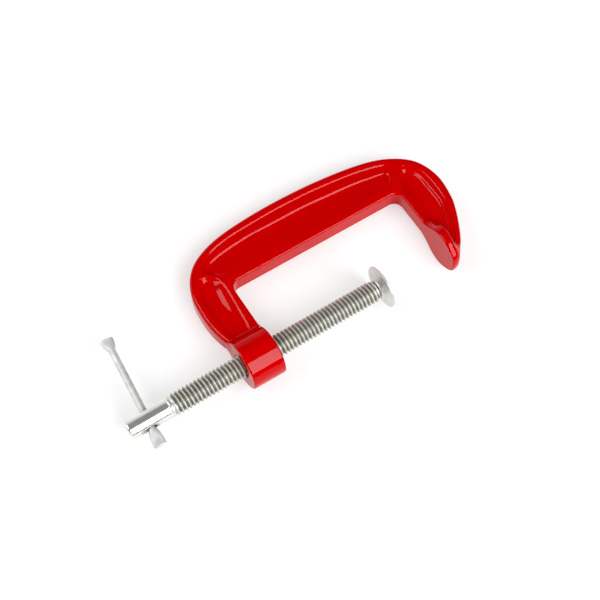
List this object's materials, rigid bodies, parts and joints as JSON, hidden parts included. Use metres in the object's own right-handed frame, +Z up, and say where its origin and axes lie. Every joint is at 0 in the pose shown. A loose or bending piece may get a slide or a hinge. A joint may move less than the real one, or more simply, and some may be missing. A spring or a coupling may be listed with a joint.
{
  "type": "g-clamp",
  "caption": "Cast C clamp: threaded boss and round anvil on a recessed frame, with a tommy-bar screw and a swivel pad that close on the work.",
  "frame": {"origin": "centre of the bounding box in plan, on the bench that the clamp lies on", "axes": "+X along the screw from its head to the anvil, +Y from the screw towards the spine, +Z up from the bench; the clamp lies on its boss, its anvil and the rim of its spine, so its flat sides lean 6.4 degrees from the bench about X"},
  "size_m": [0.179, 0.0732, 0.0224],
  "materials": {
    "frame_enamel": "gloss red enamel on cast iron",
    "screw_steel": "bright zinc plate on rolled thread",
    "pad_steel": "satin zinc plate",
    "bar_steel": "bright zinc plate"
  },
  "bodies": {
    "frame": {"frame": "frame_enamel"},
    "pad": {"swivel_pad": "pad_steel"},
    "screw": {"screw": "screw_steel"},
    "tommy_bar": {"tommy_bar": "bar_steel"}
  },
  "joints": [
    {"name": "screw_travel", "type": "slide", "parent": "frame", "child": "pad", "axis": [1, 0, 0], "range_m": [-0.05236, 0.03179]},
    {"name": "screw_spin", "type": "hinge", "parent": "pad", "child": "screw", "pos_m": [-0.07987, -0.02356, 0.0112], "axis": [1, 0, 0], "range_deg": [-10081, 6121]},
    {"name": "bar_slide", "type": "slide", "parent": "screw", "child": "tommy_bar", "axis": [0.075, 0.9954, -0.0598], "range_m": [-0.0295, 0]}
  ],
  "couplings": [
    {"joint": "screw_spin", "follows": "screw_travel", "rad_per_m": 3360}
  ]
}
